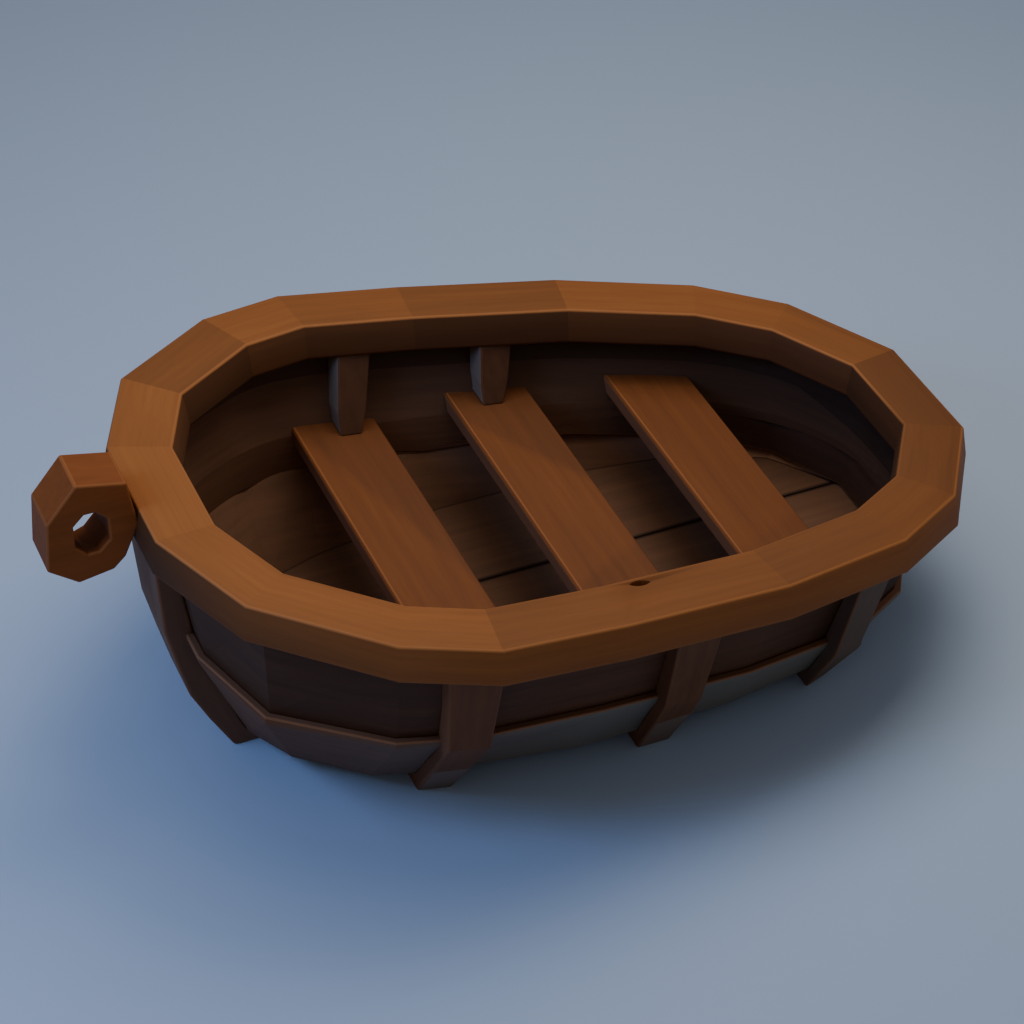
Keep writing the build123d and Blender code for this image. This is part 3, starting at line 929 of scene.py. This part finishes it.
# Stain of the seams, and painted light, painted shade and grey painted reflection on the strakes, the
# knees, the ribs and the stem
# Painted shade on the upper strakes, darker towards the bow and darkest aft
UPPER_STRAKE_TONE = {"amidships": 1.11, "per_metre": -0.7, "least": 0.58, "most": 0.9}
UPPER_STERN_X = -0.55
UPPER_STERN_TONE = 0.45
# Painted light on the lower strakes, most on the inside towards the stern, and a grey painted reflection on
# them, none outside at the bow
LOWER_OUTSIDE_TONE = 1.2
LOWER_OUTSIDE_GREY = {"amidships": 1.0, "per_metre": -1.05, "least": 0.0, "most": 0.85}
LOWER_INSIDE_TONE = {"amidships": 0.35, "per_metre": -3.0, "least": 1.7, "most": 2.8}
STERN_SEAM_X = -0.8
MIDDLE_REACH = 0.001
# Painted light and grey painted reflection on the knees' fore faces, painted shade on the rest, and faint
# rubbing on their edges, partly a painted highlight
KNEE_FORE_TONE = 1.5
KNEE_FORE_GREY = 0.6
KNEE_TONE = 0.75
KNEE_EDGE_RUB_AND_HIGHLIGHT = 0.2
# Painted light on the ribs, most at their feet, and a grey painted reflection on the feet and on the aft
# ribs
AFT_RIB_X = -0.5
AFT_RIB_TONE = 1.05
RIB_FOOT_TOP = 0.15
RIB_FOOT_TONE = 1.4
RIB_TONE = 1.25
RIB_GREY = 0.45
# Painted light and grey painted reflection on the stem
STEM_TONE = 1.25
STEM_GREY = 0.15


def faces_outboard(middle, normal):
    return normal.y * middle.y > 0.0


def off_middle_plane(edge):
    return any(abs(v.co.y) > MIDDLE_REACH for v in edge.verts)


def upper_strake_tone(place, middle, normal):
    return UPPER_STERN_TONE if place.x < UPPER_STERN_X else fade(place.x, **UPPER_STRAKE_TONE)


def lower_strake_tone(place, middle, normal):
    if faces_outboard(middle, normal):
        return LOWER_OUTSIDE_TONE
    if middle.x < STERN_SEAM_X and abs(abs(middle.y) - PLANK_SEAM_Y) < SEAM_LINE / 2:
        return SEAM_TONE
    return fade(place.x, **LOWER_INSIDE_TONE)


def lower_strake_grey(place, middle, normal):
    return fade(place.x, **LOWER_OUTSIDE_GREY) if faces_outboard(middle, normal) else PLANK_GREY


def knee_tone(place, middle, normal):
    return KNEE_FORE_TONE if normal.x > FACING else KNEE_TONE


def knee_grey(place, middle, normal):
    return KNEE_FORE_GREY if normal.x > FACING else 0.0


def rib_tone(place, middle, normal):
    if middle.x < AFT_RIB_X:
        return AFT_RIB_TONE
    return RIB_FOOT_TONE if middle.z < RIB_FOOT_TOP else RIB_TONE


def rib_grey(place, middle, normal):
    return RIB_GREY if middle.z < RIB_FOOT_TOP or middle.x < AFT_RIB_X else 0.0


def dress_side(side, sign, order):
    """The strakes, the lining, the ribs and the knees of one side."""
    seam_sides = []
    for offset in (-SEAM_LINE / 2, SEAM_LINE / 2):
        spot = Vector((0.0, PLANK_SEAM_Y * sign + offset, 0.0))
        seam_sides.append((spot, Vector((0.0, 1.0, 0.0))))
    dress_timber(
        "upper_strake_" + side,
        "planking_wood",
        grain_round_hull,
        UPPER_STRAKE_GRAIN + order,
        ease=LAP_EASE,
        sharp=STRAKE_SHARP,
        picked=off_middle_plane,
        tone=upper_strake_tone,
    )
    dress_timber(
        "lower_strake_" + side,
        "planking_wood",
        grain_round_hull,
        LOWER_STRAKE_GRAIN + order,
        sharp=STRAKE_SHARP,
        picked=off_middle_plane,
        cuts=seam_sides,
        tone=lower_strake_tone,
        grey=lower_strake_grey,
    )
    dress_lining("lining_" + side, LINING_GRAIN + order)
    for rib in (1, 2, 3):
        number = RIB_GRAIN + STARBOARD_GRAIN_STEP * order + rib
        name = "rib_%s_%d" % (side, rib)
        dress_timber(name, "frame_wood", grain_of_rib, number, tone=rib_tone, grey=rib_grey)
    for knee in (1, 2):
        number = KNEE_GRAIN + STARBOARD_GRAIN_STEP * order + knee
        name = "knee_%s_%d" % (side, knee)
        dress_timber(
            name,
            "frame_wood",
            grain_upright,
            number,
            rub_and_highlight=KNEE_EDGE_RUB_AND_HIGHLIGHT,
            tone=knee_tone,
            grey=knee_grey,
        )


rail_ring()
for order, name in enumerate(("thwart_bow", "thwart_middle", "thwart_stern")):
    dress_thwart(name, THWART_GRAIN + order)
for order, name in enumerate(("bottom_plank_centre", "bottom_plank_port", "bottom_plank_starboard")):
    dress_plank(name, PLANK_GRAIN + order)
dress_timber("keel", "frame_wood", grain_fore_and_aft, KEEL_GRAIN, ease=SPINE_EASE)
dress_timber(
    "stem",
    "frame_wood",
    grain_of_stem,
    STEM_GRAIN,
    ease=SPINE_EASE,
    tone=STEM_TONE,
    grey=STEM_GREY,
)
dress_timber("sternpost", "frame_wood", grain_of_sternpost, STERNPOST_GRAIN, ease=SPINE_EASE)
dress_side("port", 1, 0)
dress_side("starboard", -1, 1)
mooring_eye()

# Camera at the photograph's viewing angle
CAMERA_SENSOR = 36.0
CAMERA_LENS = 102.157
CAMERA_PLACE = (2.5742, 5.7216, 5.5749)
CAMERA_WAY = (-0.30535, -0.71243, -0.63183)


def aim(thing, way):
    thing.rotation_euler = Vector(way).to_track_quat("-Z", "Y").to_euler()


camera_data = bpy.data.cameras.new("camera")
camera_data.sensor_width = CAMERA_SENSOR
camera_data.lens = CAMERA_LENS
camera = make_object("camera", camera_data)
camera.location = CAMERA_PLACE
aim(camera, CAMERA_WAY)
scene.camera = camera

# Floor
FLOOR_REACH = 30.0
FLOOR_COLOUR = (0.40, 0.50, 0.64, 1.0)
FLOOR_ROUGHNESS = 0.9
floor_corners = [(x * FLOOR_REACH, y * FLOOR_REACH, 0.0) for x, y in ((-1, -1), (1, -1), (1, 1), (-1, 1))]
floor_mesh = bpy.data.meshes.new("floor")
floor_mesh.from_pydata(floor_corners, [], [(0, 1, 2, 3)])
floor_finish = bpy.data.materials.new("floor")
floor_finish.use_nodes = True
floor_shader = floor_finish.node_tree.nodes["Principled BSDF"]
floor_shader.inputs["Base Color"].default_value = FLOOR_COLOUR
floor_shader.inputs["Roughness"].default_value = FLOOR_ROUGHNESS
floor_mesh.materials.append(floor_finish)
floor = make_object("floor", floor_mesh)

# Light: a soft key and a weaker light overhead, a cool fill ahead of the bow and a faint sky
# Columns: light, place, target, size, power, colour
LIGHTS = (
    ("key", (-1.30, -1.00, 4.7), (0.25, 0.0, 0.4), 2.8, 96.0, (1.0, 0.94, 0.86)),
    ("top", (0.70, -0.10, 5.0), (0.40, 0.0, 0.4), 2.4, 36.0, (1.0, 0.95, 0.90)),
    ("fill", (3.8, 0.3, 3.6), (0.3, -0.2, 0.6), 1.6, 90.0, (0.30, 0.50, 1.0)),
)
SKY_COLOUR = (0.92, 0.90, 0.95, 1.0)
SKY_STRENGTH = 0.25
for name, place, target, size, power, colour in LIGHTS:
    lamp = bpy.data.lights.new(name, "AREA")
    lamp.size = size
    lamp.energy = power
    lamp.color = colour
    light = make_object(name, lamp)
    light.location = place
    aim(light, Vector(target) - Vector(place))
world = bpy.data.worlds.new("studio")
world.use_nodes = True
scene.world = world
sky = world.node_tree.nodes["Background"]
sky.inputs["Color"].default_value = SKY_COLOUR
sky.inputs["Strength"].default_value = SKY_STRENGTH
